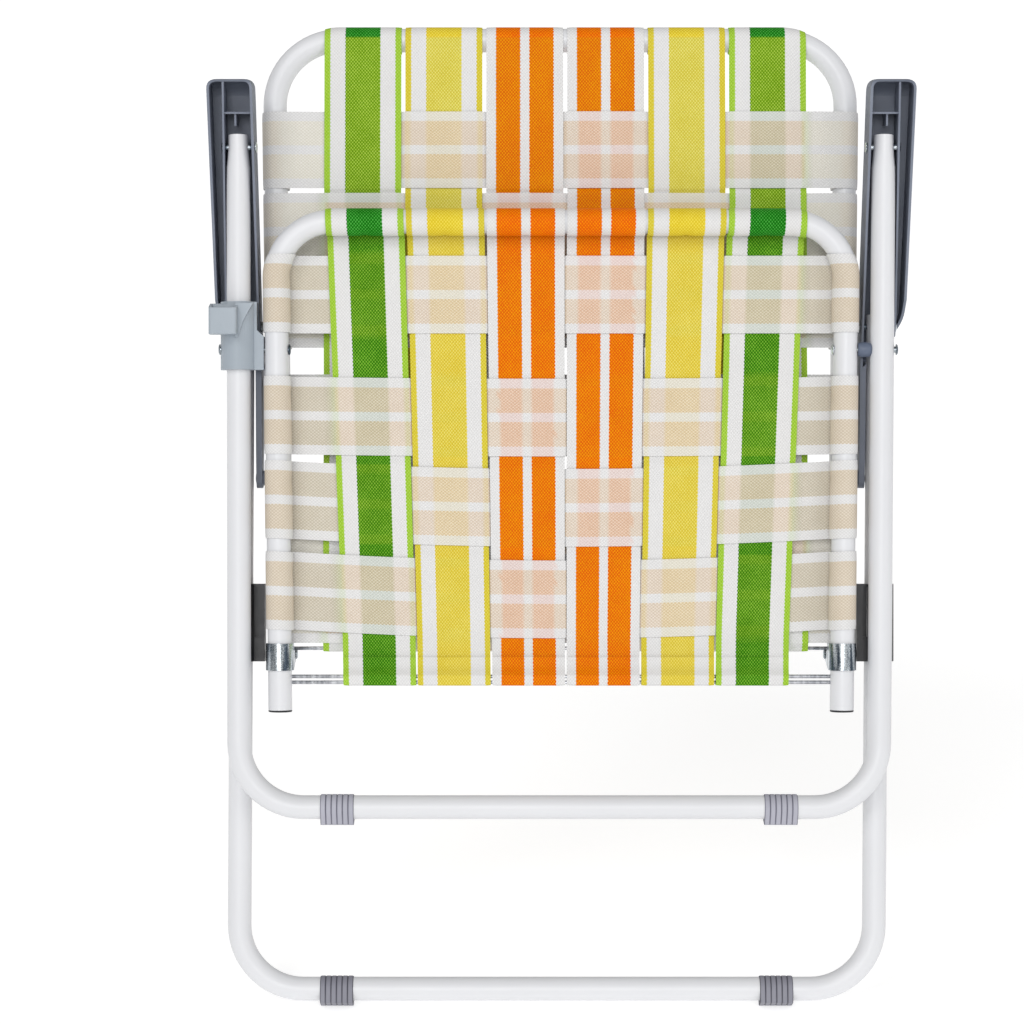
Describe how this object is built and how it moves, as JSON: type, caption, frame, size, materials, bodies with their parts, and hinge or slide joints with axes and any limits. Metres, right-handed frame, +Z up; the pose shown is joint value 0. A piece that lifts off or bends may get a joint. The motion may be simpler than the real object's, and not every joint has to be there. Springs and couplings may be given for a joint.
{
  "type": "folding lawn chair",
  "caption": "Folding lawn chair, folded flat: bent tube leg, seat and back loops, woven strap seat and back, moulded armrests and a side socket for a cup holder.",
  "frame": {"origin": "on the ground below the middle of the folded chair", "axes": "+Z up, +Y from the front of the folded chair to its back, towards which it leans, +X to the right as seen from the front"},
  "size_m": [0.6556, 0.3184, 0.8774],
  "materials": {
    "painted_tube": "gloss white",
    "zinc": "zinc plated",
    "arm_plastic": "moulded slate blue",
    "socket_plastic": "moulded grey",
    "foot_plastic": "moulded grey",
    "spacer_plastic": "moulded blue grey",
    "dark_plastic": "moulded black",
    "web_green": "woven strap, lime and dark green",
    "web_yellow": "woven strap, yellow with pale bands",
    "web_orange": "woven strap, orange with pale bands",
    "web_tan": "woven strap, tan with pale bands"
  },
  "bodies": {
    "front_leg": {"front_leg_frame": "painted_tube", "pivot_spacer_right": "spacer_plastic", "cup_holder_socket": "socket_plastic", "front_foot_left": "foot_plastic", "front_foot_right": "foot_plastic", "seat_pivot_rivet_left": "zinc", "seat_pivot_rivet_right": "zinc"},
    "armrests": {"armrest_left": "arm_plastic", "armrest_right": "arm_plastic", "arm_front_rivet_left": "zinc", "arm_front_rivet_right": "zinc", "arm_middle_rivet_left": "zinc", "arm_middle_rivet_right": "zinc", "arm_rear_rivet_left": "zinc", "arm_rear_rivet_right": "zinc"},
    "rear_leg": {"rear_leg_frame": "painted_tube", "rear_foot_left": "foot_plastic", "rear_foot_right": "foot_plastic"},
    "slides": {"leg_slide_left": "dark_plastic", "leg_slide_right": "dark_plastic"},
    "back": {"back_frame": "painted_tube", "back_rod": "zinc", "back_web_long_1": "web_green", "back_web_long_2": "web_yellow", "back_web_long_3": "web_orange", "back_web_long_4": "web_orange", "back_web_long_5": "web_yellow", "back_web_long_6": "web_green", "back_web_cross_1": "web_tan", "back_web_cross_2": "web_tan", "back_web_cross_3": "web_tan", "back_web_cross_4": "web_tan", "back_web_cross_5": "web_tan", "back_web_cross_6": "web_tan"},
    "seat": {"seat_frame": "painted_tube", "seat_rod_lower": "zinc", "seat_rod_upper": "zinc", "seat_clamp_left": "zinc", "seat_clamp_right": "zinc", "hinge_pin_left": "zinc", "hinge_pin_right": "zinc", "seat_inner_rivet_left": "zinc", "seat_inner_rivet_right": "zinc", "seat_tube_plug_left": "dark_plastic", "seat_tube_plug_right": "dark_plastic", "seat_web_long_1": "web_green", "seat_web_long_2": "web_yellow", "seat_web_long_3": "web_orange", "seat_web_long_4": "web_orange", "seat_web_long_5": "web_yellow", "seat_web_long_6": "web_green", "seat_web_cross_1": "web_tan", "seat_web_cross_2": "web_tan", "seat_web_cross_3": "web_tan", "seat_web_cross_4": "web_tan"}
  },
  "joints": [
    {"name": "fold", "type": "hinge", "parent": "front_leg", "child": "armrests", "pos_m": [0, 0.06667, 0.77603], "axis": [1, 0, 0], "range_deg": [0, 97.05]},
    {"name": "arm_to_rear_leg", "type": "hinge", "parent": "armrests", "child": "rear_leg", "pos_m": [0, 0.04376, 0.61025], "axis": [1, 0, 0], "range_deg": [-59.09, 0]},
    {"name": "arm_to_back", "type": "hinge", "parent": "armrests", "child": "back", "pos_m": [0, 0.00678, 0.47302], "axis": [1, 0, 0], "range_deg": [-105.97, 0]},
    {"name": "back_to_seat", "type": "hinge", "parent": "back", "child": "seat", "pos_m": [0, -0.04871, 0.31698], "axis": [1, 0, 0], "range_deg": [0, 113.1]},
    {"name": "slide_on_rear_leg", "type": "slide", "parent": "rear_leg", "child": "slides", "axis": [0, 0.3007, 0.9537], "range_m": [0, 0.13101]}
  ],
  "couplings": [
    {"joint": "arm_to_rear_leg", "follows": "fold", "ratio": -0.6087},
    {"joint": "arm_to_back", "follows": "fold", "ratio": -1.0917},
    {"joint": "back_to_seat", "follows": "fold", "ratio": 1.1652},
    {"joint": "slide_on_rear_leg", "follows": "fold", "m_per_rad": 0.077288}
  ]
}
